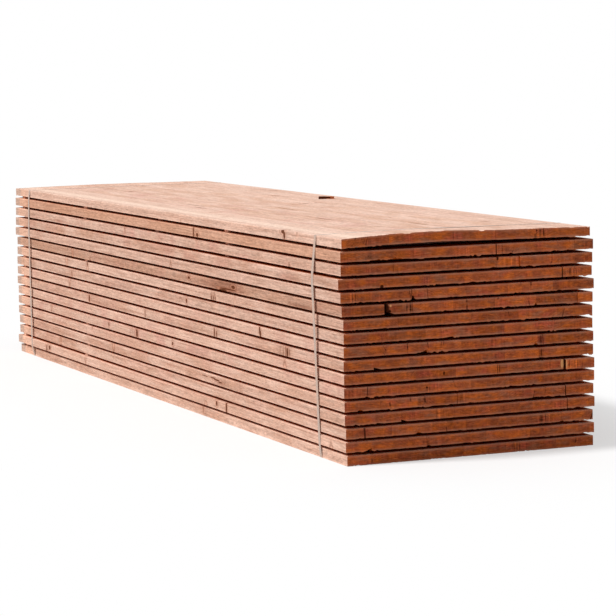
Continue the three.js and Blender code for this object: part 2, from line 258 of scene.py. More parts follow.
def face_finish(name, contrast, weathered, pale, warm, rosy, ring_tone):
    """Rough-sawn long grain: fibre streaks, soft rings, knots, and the marks of the saw.

    Contrast is how strong its fine streaks are, and weathered is how much of the drying, the grey
    at the very end and the pale arrises, partly a painted highlight, show on it, from 0 to 1.
    """
    toasted_wood, heartwood_tone = paint(204, 146, 112), paint(158, 106, 84)
    pale_sapwood, swirl_tone = paint(243, 215, 196), paint(168, 104, 76)
    dried_end, grey_end = paint(236, 186, 158), paint(182, 158, 144)
    torn_wood, small_knot_tone = paint(124, 68, 46), paint(90, 44, 26)
    knot_rim, knot_core = paint(112, 64, 42), paint(56, 22, 8)

    material, shader, begin = start_finish(name)
    wood = timber(begin)
    clouds = wood.inside.noise((3.2, 14, 14))
    patches = wood.inside.noise((5.5, 9, 9), 2.0, 0.5)
    grain = wood.inside.noise((2.2, 110, 110))
    fibre = wood.inside.noise((7, 420, 420), 4.0, 0.65)
    streaks = wood.inside.noise((3.4, 170, 170))
    flecks = wood.inside.noise((20, 170, 170), 2.0)
    crumbs = wood.inside.noise((50, 200, 200), 2.0)
    ticks = wood.place.noise((230, 3, 14), 1.0, 0.5)
    saw_marks = wood.place.noise((260, 14, 14), 2.0, 0.5)

    colour = (clouds.fade(0.34, 0.66) * (wood.warmth * 0.7 + 0.3)).mix(pale, warm)
    colour = (patches.fade(0.42, 0.74) * wood.rosiness * 0.8).mix(colour, rosy)
    colour = wood.toasted.mix(colour, toasted_wood)
    colour = (wood.rings.fade(0.5, 1.0) * 0.34).mix(colour, ring_tone)
    colour = (streaks.fade(0.50, 0.72) * 0.55).mix(colour, ring_tone)
    colour = (wood.stain * 0.8).mix(colour, heartwood_tone)

    # A band of paler sapwood along the first board of the top.
    band_middle, band_edge, band_core = 0.068, 0.055, 0.012
    from_band = (wood.from_front - band_middle + grain.swing(0.02)).math("ABSOLUTE")
    colour = (from_band.fade(band_edge, band_core) * 0.6).mix(colour, pale_sapwood)

    # The boards dry out and pale towards the left-hand end, and turn greyer at the very end.
    drying, dry = -1.84, -1.96
    grey_from, greyest = -2.025, -2.045
    along_pack = wood.place.parts()[0] + wood.rosiness.swing(0.03) + grain.swing(0.02)
    colour = (along_pack.fade(drying, dry) * weathered * 0.6).mix(colour, dried_end)
    colour = (along_pack.fade(grey_from, greyest) * weathered * 0.6).mix(colour, grey_end)

    # Paler along the upper and lower arrises: partly fuzzy pale fibres, and partly a painted
    # highlight where the edges catch the light.
    pale_arris_and_highlight = wood.from_mid_height.fade(0.34, 0.44) * (weathered * 0.14)
    tone = fibre.swing(0.65) + grain.swing(0.4) + flecks.swing(0.75) + crumbs.swing(0.8)
    tone = tone * contrast + saw_marks.swing(0.14) + wood.lightness.swing(0.30)
    colour = colour.shaded(tone + pale_arris_and_highlight + wood.bent_grain * 0.45 + 1.0)
    colour = (wood.swirl * 0.40).mix(colour, swirl_tone)
    colour = (ticks.fade(0.5, 0.64) * wood.torn * 0.7).mix(colour, torn_wood)
    colour = (wood.small_knot * (wood.warmth * 0.35 + 0.5)).mix(colour, small_knot_tone)
    colour = (wood.large_knot * 0.92).mix(colour, wood.knot_rings.mix(knot_rim, knot_core))

    height = fibre * 0.5 + saw_marks * 0.35 + wood.rings * 0.15 - wood.small_knot * 0.4
    coat(shader, colour, fibre * 0.12 + 0.76, height, strength=0.45, depth=0.0012)
    take_off_shine(shader)
    return material


def end_finish():
    """Cross-cut end grain: flat rings, checks from the pith, saw scratches and pale rims of dust.
    Its dark orange is partly the wood's own colour and partly painted shade.
    """
    orange, brown, ruddy = paint(203, 99, 35), paint(157, 77, 46), paint(182, 76, 60)
    grimy, painted_lit_end, dusty_rim = paint(150, 98, 76), paint(208, 150, 112), paint(206, 140, 112)
    early_wood, late_wood = paint(206, 130, 88), paint(118, 46, 18)
    in_checks, in_knots, in_splits = paint(50, 22, 12), paint(90, 44, 24), paint(44, 14, 4)
    fresh_wood = paint(246, 178, 118)

    material, shader, begin = start_finish("end_grain_and_shade")
    wood = timber(begin)
    clouds = wood.inside.noise((3, 17, 26))
    grime = wood.place.noise((3, 12, 40))
    scratches = wood.place.noise((20, 26, 300))
    flecks = wood.place.noise((20, 45, 190), 2.0, 0.5)
    spots = wood.place.noise((3, 14, 24), 2.0, 0.5)
    saw_ticks = wood.place.noise((4, 150, 7), 1.0, 0.5)
    mottle = wood.place.noise((3, 80, 70), 2.0)
    pores = wood.place.noise(600, 2.0, 0.5)

    # Checks are fine cracks that run out from the middle of the log like spokes.
    spokes = begin.node("ShaderNodeCombineXYZ", {}, {
        "X": wood.upright.math("ARCTAN2", wood.across) * 26.0, "Y": wood.lightness * 40.0,
    })
    checks = spokes.noise(1.0, 1.0, 0.4).fade(0.68, 0.73) * clouds.fade(0.45, 0.6)

    colour = clouds.fade(0.34, 0.66).mix(orange, brown)
    colour = (spots.fade(0.44, 0.74) * (wood.warmth * 0.6 + 0.22)).mix(colour, ruddy)
    colour = (grime.fade(0.48, 0.72) * 0.7).mix(colour, grimy)
    # Painted shade and light: the right-hand end, which lies in shade, keeps the darkest orange, and
    # the colour pales towards the left-hand end, which the lamp lights.
    towards_left = wood.place.parts()[0].fade(0.5, -0.5)        # that end lies in the sun
    colour = (towards_left * 0.4).mix(colour, painted_lit_end)
    ring_wave = wood.close_rings * 1.6 + flecks.swing(1.4)
    colour = (ring_wave.fade(0.0, 0.8) * 0.34).mix(colour, early_wood)
    colour = (ring_wave.fade(0.0, -0.8) * 0.34).mix(colour, late_wood)
    upright_ticks = wood.torn * 2.2 + spots.fade(0.5, 0.7) * 0.8 + 0.25
    tone = scratches.swing(1.5) + pores.swing(0.9) + wood.lightness.swing(0.38)
    tone = tone + mottle.swing(0.8) + saw_ticks.swing(upright_ticks)
    colour = colour.shaded(tone + 1.0)
    rim = wood.from_mid_height.fade(0.24, 0.47) * (grime * 0.8 + 0.05)
    colour = rim.mix(colour, dusty_rim)
    colour = (checks * 0.8).mix(colour, in_checks)
    colour = (wood.small_knot * 0.3).mix(colour, in_knots)
    colour = (wood.large_knot * 0.92).mix(colour, in_splits)
    colour = (wood.scar * 0.85).mix(colour, fresh_wood)

    height = scratches * 0.4 + saw_ticks * 0.3 + pores * 0.3 - checks
    coat(shader, colour, scratches * 0.14 + 0.78, height, strength=0.5, depth=0.001)
    take_off_shine(shader)
    return material


def bark_finish():
    """The round of the log left on a corner: stringy inner bark, also painted shade in open joints.
    """
    dark_string, pale_string, flake_tone = paint(44, 16, 6), paint(104, 54, 28), paint(34, 12, 5)
    material, shader, begin = start_finish("inner_bark_and_shade")
    place = begin.node("ShaderNodeTexCoord", output="Object")
    strings = place.noise((9, 160, 160), 4.0, 0.7)
    flakes = place.noise(60)
    colour = strings.mix(dark_string, pale_string)
    colour = flakes.fade(0.55, 0.7).mix(colour, flake_tone)
    height = strings * 0.6 + flakes * 0.4
    coat(shader, colour, flakes * 0.1 + 0.82, height, strength=0.7, depth=0.003)
    take_off_shine(shader)
    return material


# The finishes, in the order of their names below: faces that the weather reaches, cross-cut
# ends, whose dark orange is partly painted shade, bark, which also serves as painted shade on the
# sides of open joints, the top, which the sun has bleached, and faces inside the gaps, painted dark
# orange as painted shade.
board_finishes = [
    face_finish(
        "sawn_face", contrast=1.0, weathered=1.0, pale=paint(223, 185, 165),
        warm=paint(202, 157, 134), rosy=paint(205, 151, 135), ring_tone=paint(172, 120, 98),
    ),
    end_finish(),
    bark_finish(),
    face_finish(
        "bleached_face", contrast=0.9, weathered=0.25, pale=paint(231, 198, 181),
        warm=paint(216, 177, 155), rosy=paint(216, 170, 156), ring_tone=paint(184, 140, 118),
    ),
    # Painted shade: the faces inside the gaps are painted a dark orange, so that the gaps look dark.
    face_finish(
        "painted_gap_shade", contrast=0.8, weathered=0.0, pale=paint(188, 94, 34),
        warm=paint(172, 80, 27), rosy=paint(172, 78, 34), ring_tone=paint(150, 66, 25),
    ),
]
FACE, END, BARK_AND_SHADE, BLEACHED, GAP_SHADE = range(len(board_finishes))

top_course = 17
board_length = 4.2
pack_middle = (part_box("strap_left")[0].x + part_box("strap_right")[1].x) / 2
pack_right = pack_middle + board_length / 2     # no board end but a proud one lies past this
spring_length = 0.6         # the top boards spring up over this much at each end
spring_steps = 6            # in so many straight steps, as the solid does
underside_spring = 0.62     # their undersides lift by this share of what their tops do

end_reach = 0.03            # the board ends of a course all lie within this of the course's end
same_corner = 5e-5          # corners of a solid that lie this close are one corner
corner_slack = 2e-4         # how far a corner may lie from where it is looked for
level_with = 1e-4           # what lies this close to a plane lies on it

arris = 0.0009              # the sawn corners are this much worn off
arris_angle = math.radians(12)      # an edge that turns by less than this has no arris
upright_share = 0.5         # an edge that climbs by more than this share of itself is upright
stretches = 26              # a board is cut into so many, so that its edges can waver
edge_waver = 0.0006         # they waver by up to this much,
waver_pace = 2.5            # and so often in a metre
end_cut = 0.018             # the last cut before each end
lit_strip = 0.014           # a face keeps its own colour this far into a gap; beyond: painted shade
closed_joint = 0.0020       # a joint narrower than this is pushed nearly shut,
joint_push = 0.4            # by this share of its width from either side
first_stagger = (0.0003, 0.0015)    # how far the first board's end lies behind pack_right,
next_stagger = (0.0001, 0.0004)     # and each further one behind the one before

torn_spacing = 0.005        # the arrises of a board's end are broken up at this spacing
least_torn = 0.012          # but for those shorter than this
tear_pace, fray_pace, wild_pace = 70, 190, 16       # how often its tears change in a metre
end_fuzz = 0.0010           # the fuzz of a sawn end is this deep
hanging_fibre = 0.004       # torn fibres hang down from the ends by up to this much
worn_top, worn_below = 0.0028, 0.0012       # how far the upper arrises of the ends are worn down

# Wane at the right-hand end, by course and board from the front: the edge it is on, the width
# and height of the corner that is missing, and how far in it runs out.
wane = {
    (2, 0): ("back", 0.032, 0.007, 0.8),
    (4, 1): ("front", 0.026, 0.008, 0.9),
    (8, 1): ("front", 0.030, 0.007, 0.9),
    (9, 1): ("back", 0.044, 0.009, 1.2),
    (12, 1): ("front", 0.030, 0.011, 1.0),
    (13, 2): ("front", 0.014, 0.009, 0.8),
}

# Chips out of the edges of the right-hand ends, by course: where they are behind the course's
# front, their width, and how far they go up from the lower edge or (below 0) down from the upper.
chips = {
    17: [
        (0.060, 0.012, 0.004), (0.264, 0.036, -0.003), (0.390, 0.050, -0.002),
        (0.568, 0.024, -0.004),
    ],
    16: [(0.200, 0.170, 0.003), (0.150, 0.020, 0.003), (0.235, 0.026, 0.003)],
    12: [(0.794, 0.008, 0.011)],
    9: [(0.787, 0.013, 0.007)],
    6: [(0.091, 0.012, 0.004)],
    5: [(0.062, 0.020, 0.007)],
    3: [(0.294, 0.018, 0.006), (0.891, 0.016, 0.005)],
    2: [(0.104, 0.040, 0.003), (0.335, 0.016, 0.005)],
}

# Joints that show as a line on the right-hand end, by course and board in front of the joint.
seen_joints = {17: (2, 3), 15: (0,), 8: (4,), 5: (2,)}

# Knots, splits and bark pockets that are larger or darker than the rest, by course and board:
# where they lie along the pack, behind the board's front edge and above its underside, and
# their half sizes.
large_knots = {
    (17, 0): [
        ((1.530, 0.0, 0.030), (0.017, 0.016, 0.008)), ((1.544, 0.0, 0.016), (0.010, 0.012, 0.014)),
    ],
    (17, 1): [
        ((-0.16, 0.070, 0.035), (0.110, 0.003, 0.01)), ((0.02, 0.030, 0.035), (0.080, 0.003, 0.01)),
        ((1.05, 0.185, 0.035), (0.100, 0.003, 0.01)),
    ],
    (17, 2): [
        ((0.36, 0.090, 0.035), (0.120, 0.003, 0.01)), ((1.55, 0.160, 0.035), (0.090, 0.003, 0.01)),
    ],
    (16, 0): [
        ((0.545, 0.0, 0.018), (0.007, 0.012, 0.024)), ((0.590, 0.0, 0.010), (0.014, 0.01, 0.008)),
    ],
    (12, 0): [
        ((0.469, 0.0, 0.022), (0.013, 0.01, 0.006)), ((0.990, 0.0, 0.023), (0.020, 0.01, 0.007)),
        ((0.874, 0.0, 0.002), (0.040, 0.01, 0.006)), ((0.930, 0.0, 0.010), (0.090, 0.01, 0.003)),
    ],
    (11, 0): [
        ((0.724, 0.0, 0.010), (0.005, 0.01, 0.008)), ((0.748, 0.0, 0.010), (0.005, 0.01, 0.010)),
        ((0.772, 0.0, 0.010), (0.004, 0.01, 0.008)),
    ],
    (10, 0): [((0.426, 0.0, 0.020), (0.008, 0.01, 0.010))],
    (9, 0): [
        ((1.264, 0.0, 0.024), (0.008, 0.01, 0.020)), ((1.272, 0.0, 0.010), (0.008, 0.01, 0.014)),
    ],
    (8, 0): [
        ((0.758, 0.0, 0.018), (0.006, 0.01, 0.022)), ((0.784, 0.0, 0.014), (0.005, 0.01, 0.014)),
        ((1.551, 0.0, 0.016), (0.009, 0.01, 0.020)), ((-0.912, 0.0, 0.020), (0.008, 0.01, 0.018)),
    ],
    (6, 0): [
        ((-0.235, 0.0, 0.020), (0.012, 0.01, 0.020)), ((0.239, 0.0, 0.020), (0.010, 0.01, 0.008)),
        ((-0.635, 0.0, 0.022), (0.006, 0.01, 0.010)),
    ],
    (4, 0): [
        ((0.724, 0.0, 0.025), (0.030, 0.01, 0.0028)), ((0.770, 0.0, 0.021), (0.034, 0.01, 0.0035)),
        ((0.810, 0.0, 0.015), (0.026, 0.01, 0.003)), ((0.630, 0.0, 0.024), (0.034, 0.01, 0.002)),
    ],
    (2, 0): [
        ((-1.563, 0.0, 0.020), (0.014, 0.01, 0.012)), ((0.876, 0.0, 0.020), (0.009, 0.01, 0.026)),
        ((0.764, 0.0, 0.024), (0.010, 0.01, 0.010)),
    ],
}

# Splits and small knots in the right-hand ends, by course: how far behind the course's front,
# how far up, and their half width and half height. All marks of the ends go so far in.
end_mark_depth = 0.02
end_marks = {
    17: [(0.825, 0.024, 0.0016, 0.014), (0.797, 0.030, 0.003, 0.003), (0.790, 0.012, 0.0015, 0.008)],
    15: [(0.636, 0.034, 0.006, 0.008), (0.210, 0.019, 0.0012, 0.018)],
    14: [(0.921, 0.006, 0.008, 0.008), (0.174, 0.004, 0.007, 0.006)],
    13: [(0.291, 0.007, 0.0060, 0.007)],
    12: [(0.184, 0.018, 0.005, 0.026), (0.193, 0.012, 0.005, 0.005)],
    9: [(0.808, 0.020, 0.0014, 0.016)],
    8: [(0.811, 0.016, 0.0014, 0.014)],
    7: [
        (0.404, 0.018, 0.004, 0.008), (0.626, 0.019, 0.0014, 0.020), (0.635, 0.019, 0.0012, 0.016),
        (0.924, 0.020, 0.0012, 0.016),
    ],
    6: [(0.334, 0.020, 0.004, 0.004)],
    4: [(0.920, 0.034, 0.006, 0.006)],
}

# Pale scars in the right-hand ends, where fresh wood shows, in the same terms.
end_scars = {
    12: [(0.196, 0.031, 0.004, 0.004)],
    7: [(0.8985, 0.022, 0.0060, 0.017), (0.9125, 0.020, 0.0025, 0.016)],
}

# Patches of the right-hand ends where the saw tore the grain into upright ticks, likewise.
torn_ends = {
    17: [(0.806, 0.020, 0.030, 0.03)], 16: [(0.657, 0.020, 0.025, 0.03)],
    15: [(0.712, 0.020, 0.045, 0.03)], 14: [(0.950, 0.008, 0.030, 0.02)],
    13: [(0.050, 0.020, 0.016, 0.03)], 12: [(0.275, 0.020, 0.030, 0.03)],
    9: [(0.808, 0.020, 0.016, 0.03)], 8: [(0.808, 0.020, 0.016, 0.03)],
    7: [(0.930, 0.020, 0.030, 0.03)], 6: [(0.334, 0.008, 0.018, 0.015)],
    5: [(0.460, 0.020, 0.024, 0.03)], 4: [(0.382, 0.020, 0.024, 0.03)],
    3: [(0.820, 0.020, 0.026, 0.03)], 1: [(0.700, 0.020, 0.022, 0.03)],
}

# The same on the faces of some front boards: along the board, and half its length.
torn_faces = {11: (0.748, 0.030), 8: (1.530, 0.055), 6: (-0.300, 0.030)}
torn_face_height, torn_face_depth, torn_face_half_height = 0.016, 0.02, 0.022

# Darker heartwood in some front boards: along the board, its half length, its height, and half
# how high it is. It goes so far in.
heartwood = {12: ((0.89, 0.20, 0.019, 0.05), (1.71, 0.13, 0.006, 0.012))}
heartwood_depth = 0.06

# How light the front boards are, about 0 to 1, from the top of the pack downwards.
front_tones = {
    16: 0.36, 15: 0.37, 14: 0.37, 13: 0.37, 12: -0.02, 11: 0.45, 10: 0.30, 9: 0.54, 8: 0.43,
    7: 0.61, 6: 0.44, 5: 0.58, 4: 0.45, 3: 0.47, 2: 0.64, 1: 0.60,
}

# The same for the boards of the top course, from the front.
top_tones = (0.54, 0.56, 0.52, 0.54, 0.50)

# How warm and how rosy two of the front boards are. Chance gives the others.
front_hues = {17: (0.1, 0.0), 12: (0.8, 0.8)}

# Front boards that are toasted browner than the others, and by how much.
toasted_boards = {16: 0.55, 12: 0.35}

log_length = 60             # the grain of a board starts somewhere in this length of log
pith_aside = 0.07           # the middle of its log is up to this far to one side of the board,
pith_away = (0.14, 0.45)    # and this far above or below it
chance = random.Random(1917)


def apart(values, least):
    """The values in order, without those that lie almost on the one before."""
    kept = []
    for value in sorted(values):
        if not kept or value - kept[-1] > least:
            kept.append(value)
    return kept


def boards_of(course):
    """Reads off a course's solid: its boards, front to back, their top and the stickers' top."""
    name = f"board_layer_{course:02d}"
    corners = [vertex.co.copy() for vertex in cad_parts[name].data.vertices]
    low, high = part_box(name)
    at_left = [c for c in corners if c.x < low.x + end_reach]
    at_right = [c for c in corners if c.x > high.x - end_reach]
    askew = min(c.y for c in at_right) - min(c.y for c in at_left)
    squared = [Vector((c.x, c.y - askew, c.z)) for c in at_right]
    unbent = at_left
    if course == top_course:
        unbent = [c for c in corners if abs(c.x - pack_middle) < board_length / 2 - spring_length]
    top = max(c.z for c in unbent)

    def end_of(front, back, at_end):
        """Where the corners of one end of a board are, along the pack."""
        return [c.x for c in at_end if front - corner_slack < c.y < back + corner_slack]

    def rise(edge, at_end):
        """How far a corner of the end of a board has sprung up."""
        return max(c.z for c in at_end if abs(c.y - edge) < corner_slack) - top

    boards = []
    edges = apart((c.y for c in at_left), same_corner)
    for number, (front, back) in enumerate(zip(edges[::2], edges[1::2])):
        boards.append(SimpleNamespace(
            course=course, number=number, seed=Vector((0, course * 3.1, number * 7.7)),
            front=front, back=back, bottom=low.z, top=top, askew=askew, course_front=edges[0],
            left=min(end_of(front, back, at_left)), right=max(end_of(front, back, squared)),
            left_rise=(rise(front, at_left), rise(back, at_left)),
            right_rise=(rise(front, squared), rise(back, squared)),
        ))
    return boards, top, high.z


def settle(boards):
    """Pushes most joints of a course nearly shut, and brings its right-hand ends almost level."""
    flush = pack_right - chance.uniform(*first_stagger)
    for number, board in enumerate(boards):
        board.is_first = number == 0
        board.is_last = number == len(boards) - 1
        joint = 0 if board.is_last else boards[number + 1].front - board.back
        board.open_back = joint > closed_joint
        board.open_front = number > 0 and boards[number - 1].open_back
        if 0 < joint < closed_joint and number not in seen_joints.get(board.course, ()):
            board.back += joint_push * joint
            boards[number + 1].front -= joint_push * joint
        if board.right < pack_right + level_with:
            board.right = flush
            flush -= chance.uniform(*next_stagger)


def box_between(low, high):
    """A bmesh holding one plain box."""
    made = bmesh.new()
    bmesh.ops.create_cube(made, size=1)
    bmesh.ops.scale(made, vec=Vector(high) - Vector(low), verts=made.verts)
    bmesh.ops.translate(made, vec=(Vector(low) + Vector(high)) / 2, verts=made.verts)
    return made


def slice_at(made, place, across, cut_off=False):
    """Cuts a board along a plane, and may take off the side that the plane looks at."""
    bmesh.ops.bisect_plane(
        made, geom=[*made.verts, *made.edges, *made.faces],
        plane_co=place, plane_no=across, clear_outer=cut_off,
    )


def wear_arrises(made, width, segments):
    """Rounds every sharp edge a little, but for the upright ones of a sawn end."""
    def is_upright(edge):
        climb = abs(edge.verts[0].co.z - edge.verts[1].co.z)
        return climb >= upright_share * edge.calc_length()

    sharp = [e for e in made.edges if e.calc_face_angle(0) > arris_angle and not is_upright(e)]
    bmesh.ops.bevel(
        made, geom=sharp, offset=width, offset_type="OFFSET", segments=segments,
        profile=0.5, affect="EDGES", material=-1, clamp_overlap=True,
    )


def cut_wane(made, board, edge, width, height, run):
    """Takes a lower corner off a board, most at its right end and nothing at run further in."""
    inward = 1 if edge == "front" else -1
    corner_y = getattr(board, edge)
    wide = Vector((board.right, corner_y + inward * width, board.bottom))
    high = Vector((board.right, corner_y, board.bottom + height))
    tip = Vector((board.right - run, corner_y, board.bottom))
    outwards = (wide - tip).cross(high - tip).normalized()
    if outwards.z > 0:
        outwards = -outwards
    slice_at(made, tip, outwards, cut_off=True)
    rim = [e for e in made.edges if e.is_boundary]
    for face in bmesh.ops.holes_fill(made, edges=rim)["faces"]:
        face.material_index = BARK_AND_SHADE


def finish_of(face, board):
    """The finish of one face of a board, by where it lies and which way it looks."""
    partly, squarely = 0.3, 0.9
    face.normal_update()
    middle = face.calc_center_median()
    from_end = min(middle.x - board.left, board.right - middle.x)
    is_edge = abs(face.normal.y) > squarely
    in_front = board.is_first and middle.y - board.front < lit_strip
    behind = board.is_last and board.back - middle.y < lit_strip
    at_mouth = from_end < end_cut and face.normal.z > squarely
    is_proud = middle.x > pack_right and is_edge
    in_open_joint = is_edge and (board.open_front if face.normal.y < 0 else board.open_back)
    if face.material_index == BARK_AND_SHADE:
        return BARK_AND_SHADE
    if from_end < 1.5 * arris:
        return END
    if board.course == top_course and face.normal.z > partly:
        return BLEACHED
    if in_front or behind or at_mouth or is_proud:
        return FACE
    # Painted shade: the other faces inside the gaps take the dark gap finish, and the sides of open
    # joints the bark finish.
    return BARK_AND_SHADE if in_open_joint else GAP_SHADE


def roughen_end(made, board, end_x, inwards, bites):
    """Breaks up the arrises of a cross-cut end: fibres torn out or left hanging, and chips."""
    def at_end(vertex, reach):
        return (vertex.co.x - end_x) * inwards < reach

    def width_of(edge):
        return abs(edge.verts[0].co.y - edge.verts[1].co.y)

    def tear(pace, track, y):
        """Between about -1 and 1, changing so often in a metre of the arris."""
        return noise.noise(Vector((y * pace, track, 0)) + board.seed)

    near_end = end_cut + level_with
    torn = [
        e for e in made.edges
        if at_end(e.verts[0], near_end) and at_end(e.verts[1], near_end) and width_of(e) > least_torn
    ]
    cuts = round(max(width_of(e) for e in torn) / torn_spacing)
    bmesh.ops.subdivide_edges(made, edges=torn, cuts=cuts, use_grid_fill=True)

    lowest = board.bottom if board.course == 1 else board.bottom - hanging_fibre
    worn = worn_top if board.course == top_course else worn_below
    rim = [v for v in made.verts if at_end(v, 2 * arris)]
    middle = sum(v.co.z for v in rim) / len(rim)
    for vertex in rim:
        where = vertex.co
        rough = tear(tear_pace, 0, where.y) + 0.7 * tear(fray_pace, 5, where.y)
        wild = max(0.25, 3 * tear(wild_pace, 9, where.y))
        where.x += inwards * abs(rough) * end_fuzz
        is_low = where.z < middle
        bitten = 0.0
        for bite_y, bite_width, bite_height in bites:
            if (bite_height > 0) == is_low:
                share = 1 - (2 * (where.y - bite_y) / bite_width) ** 2
                bitten += bite_height * math.sqrt(max(0.0, share))
        if is_low:
            hung = max(rough * wild * hanging_fibre + bitten, -hanging_fibre)
            where.z = max(lowest, where.z + hung)
        else:
            where.z += bitten - abs(rough) * wild * worn


def make_board(board):
    """One board, still straight: sawn square, waned, its arrises worn and its ends broken up."""
    made = box_between((board.left, board.front, board.bottom), (board.right, board.back, board.top))
    if (board.course, board.number) in wane:
        cut_wane(made, board, *wane[board.course, board.number])
    wear_arrises(made, arris, segments=2)
    length = board.right - board.left
    cuts = [board.left + length * step / stretches for step in range(1, stretches)]
    for x in [board.left + end_cut, *cuts, board.right - end_cut]:
        slice_at(made, (x, 0, 0), (1, 0, 0))
    if board.is_first:
        slice_at(made, (0, board.front + lit_strip, 0), (0, 1, 0))
    if board.is_last:
        slice_at(made, (0, board.back - lit_strip, 0), (0, 1, 0))
    for face in made.faces:
        face.material_index = finish_of(face, board)
    bites = [(board.course_front + y, wide, high) for y, wide, high in chips.get(board.course, [])]
    roughen_end(made, board, board.left, 1, [])
    roughen_end(made, board, board.right, -1, bites)
    return made


def slid(board, x):
    """How far an askew board has slid towards the back at x."""
    return board.askew * (x - board.left) / board_length


def sprung(board, x, y):
    """How far a board of the top course has lifted at x and y: it bends up over its last part."""
    def bent(step):
        return (step / spring_steps) ** 2

    from_end = board_length / 2 - abs(x - pack_middle)
    bend_steps = max(0.0, (spring_length - from_end) / spring_length * spring_steps)
    step = math.floor(bend_steps)
    bend = bent(step) + (bent(step + 1) - bent(step)) * (bend_steps - step)
    front_rise, back_rise = board.left_rise if x < pack_middle else board.right_rise
    share = min(1.0, max(0.0, (y - board.front) / (board.back - board.front)))
    return bend * (front_rise + (back_rise - front_rise) * share)


def marks_on(board):
    """The marks that one board holds, by name: their places and their half sizes."""
    def on_board(x, y, z):
        """A place by where it is along the pack, behind the board's front and above its bottom."""
        return Vector((x, board.front + slid(board, x) + y, board.bottom + z))

    def on_end(ends):
        """The marks of the right-hand ends that are on this board."""
        held = []
        for y, z, half_width, half_height in ends.get(board.course, []):
            if board.front < board.course_front + y < board.back:
                mark_y = board.course_front + board.askew + y
                place = Vector((board.right, mark_y, board.bottom + z))
                held.append((place, Vector((end_mark_depth, half_width, half_height))))
        return held

    marks = {}
    if board.is_first:
        stains = heartwood.get(board.course, ())
        for name, (x, half_length, z, half_height) in zip(("stain", "lower_stain"), stains):
            marks[name] = on_board(x, 0, z), Vector((half_length, heartwood_depth, half_height))
        if board.course in torn_faces:
            x, half_length = torn_faces[board.course]
            size = Vector((half_length, torn_face_depth, torn_face_half_height))
            marks["torn"] = on_board(x, 0, torn_face_height), size
    knots = [
        (on_board(*place), Vector(size))
        for place, size in large_knots.get((board.course, board.number), [])
    ]
    marks.update(zip(knot_names, knots + on_end(end_marks)))
    marks.update(("scar", mark) for mark in on_end(end_scars))
    marks.update(("torn", mark) for mark in on_end(torn_ends))
    return marks


def vertex_values(log, board, marks):
    """What the vertices of a board or a sticker hold for its finish."""
    values = {"log": Vector(log), "board": Vector(board), "share": Vector((0, 1, 0.5))}
    for name in mark_names:
        values[name], values[name + "_size"] = marks.get(name, (nowhere, speck))
    return values


def board_values(board):
    """The same for one board, from its marks and the chances of its log and its colour."""
    log = (
        chance.uniform(0, log_length),
        (board.front + board.back) / 2 + chance.uniform(-pith_aside, pith_aside),
        board.bottom + chance.choice((-1, 1)) * chance.uniform(*pith_away),
    )
    lightness, warmth, rosiness = chance.random(), chance.random(), chance.random()
    if board.is_first:
        lightness = front_tones.get(board.course, lightness)
        warmth, rosiness = front_hues.get(board.course, (warmth, rosiness))
    if board.course == top_course:
        lightness = top_tones[board.number]
    return vertex_values(log, (lightness, warmth, rosiness), marks_on(board))


def add_to(course_mesh, made, values):
    """Adds a board, a sticker or the flake to its course, and gives the vertices it brought."""
    before = len(course_mesh.verts)
    loose = bpy.data.meshes.new("loose")
    made.to_mesh(loose)
    made.free()
    course_mesh.from_mesh(loose)
    bpy.data.meshes.remove(loose)
    course_mesh.verts.ensure_lookup_table()
    brought = course_mesh.verts[before:]
    for name, value in values.items():
        layer = course_mesh.verts.layers.float_vector[name]
        for vertex in brought:
            vertex[layer] = value
    return brought


def add_board(course_mesh, board, values):
    """Makes one board and lays it in its course: askew, its edges wavering, its ends sprung."""
    on_top = board.course == top_course
    brown = toasted_boards.get(board.course, 0) if board.is_first else 0
    brought = add_to(course_mesh, make_board(board), values)
    share = course_mesh.verts.layers.float_vector["share"]
    for vertex in brought:
        where = vertex.co
        height_share = (where.z - board.bottom) / (board.top - board.bottom)
        from_front = where.y - board.front if board.is_first and on_top else 1.0
        vertex[share] = Vector((brown, from_front, height_share))
        if on_top:
            lifted = 1 if height_share > 0.5 else underside_spring
            where.z += sprung(board, where.x, where.y) * lifted
        waver = noise.noise(Vector((where.x * waver_pace, 0, 0)) + board.seed)
        where.y += slid(board, where.x) + edge_waver * waver


# ------------------------------------------------------------------ stickers
# Thin laths of the same wood, laid square to the boards on every course but the top one, so
# that the air gets between the courses. They are laid by hand, so none is quite in line.

lath_arris = 0.0008
lath_slack = 0.01                   # corners of a lath this close along the pack are on one side
lath_stray = (-0.009, 0.009)        # how far a lath lies from its place along the pack
first_stray = (-0.018, -0.010)      # the first lath of a course lies nearer the end

# How far the ends of the laths lie inside the solids' ends: the front ends of most of them, of
# the first lath of a course and of those that come right out, and all the back ends.
set_back = (0.017, 0.021)
first_set_back = (0.002, 0.005)
flush_set_back = (0.001, 0.005)
rear_set_back = (0, 0.02)

# Stickers whose front ends come right out to the faces of the boards: by place from the left,
# the courses that they lie on.
flush_stickers = {1: (2, 3, 4, 5, 11, 12, 15, 16), 2: (15,), 3: (14, 15, 16)}


